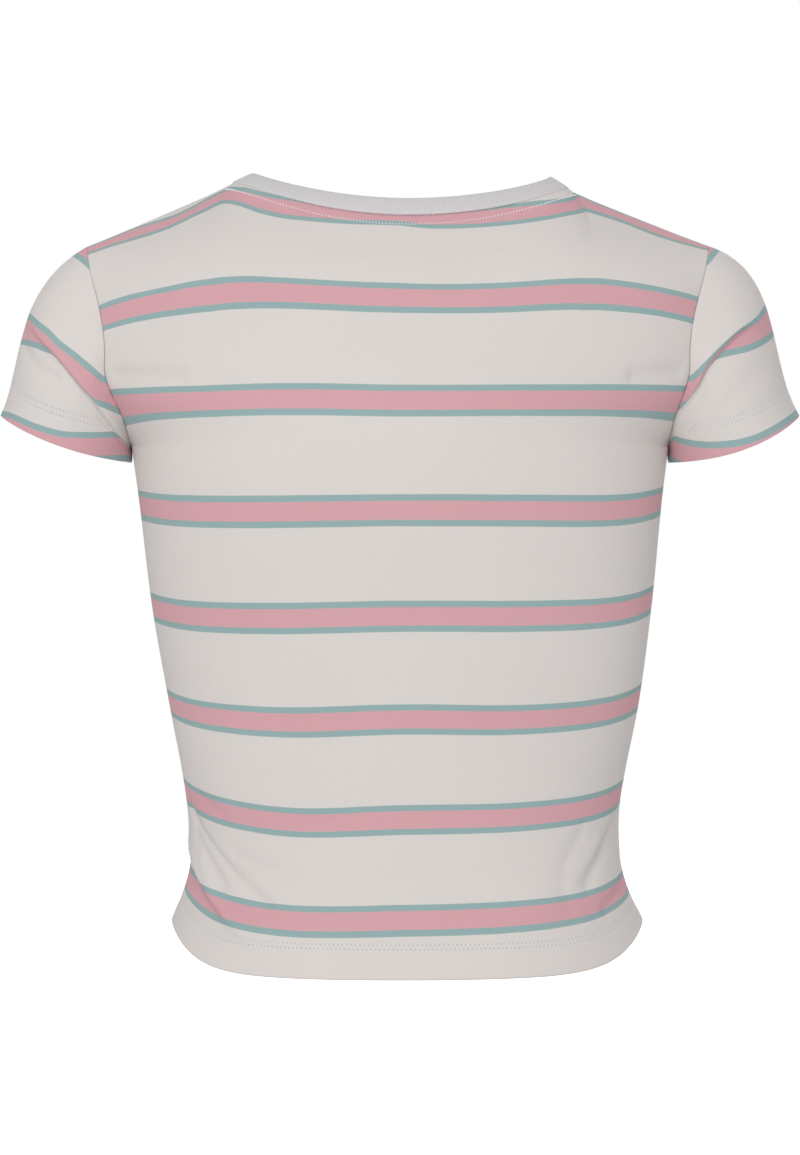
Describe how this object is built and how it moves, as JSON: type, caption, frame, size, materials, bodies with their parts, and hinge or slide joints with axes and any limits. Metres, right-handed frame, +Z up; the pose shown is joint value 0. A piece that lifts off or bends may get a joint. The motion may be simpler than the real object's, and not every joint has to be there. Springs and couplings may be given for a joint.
{
  "type": "short-sleeved crop top",
  "caption": "Short-sleeved striped crop top of jersey with a rib neckband, filled out as if worn, hollow and open at neck, hem and cuffs.",
  "frame": {"origin": "level with the high points of the shoulders, midway between them, in the plane of the shoulder seams, where a wearer's shoulders hold the top up", "axes": "+Z up, the front faces -Y, the wearer's left is at +X"},
  "size_m": [0.4538, 0.2139, 0.4473],
  "materials": {
    "jersey": "matte cotton jersey, off-white with pink stripes edged in grey-green",
    "rib": "matte plain rib"
  },
  "bodies": {
    "root": {"back": "jersey", "front": "jersey", "sleeve_left": "jersey", "sleeve_right": "jersey", "neckband": "rib"}
  },
  "joints": []
}
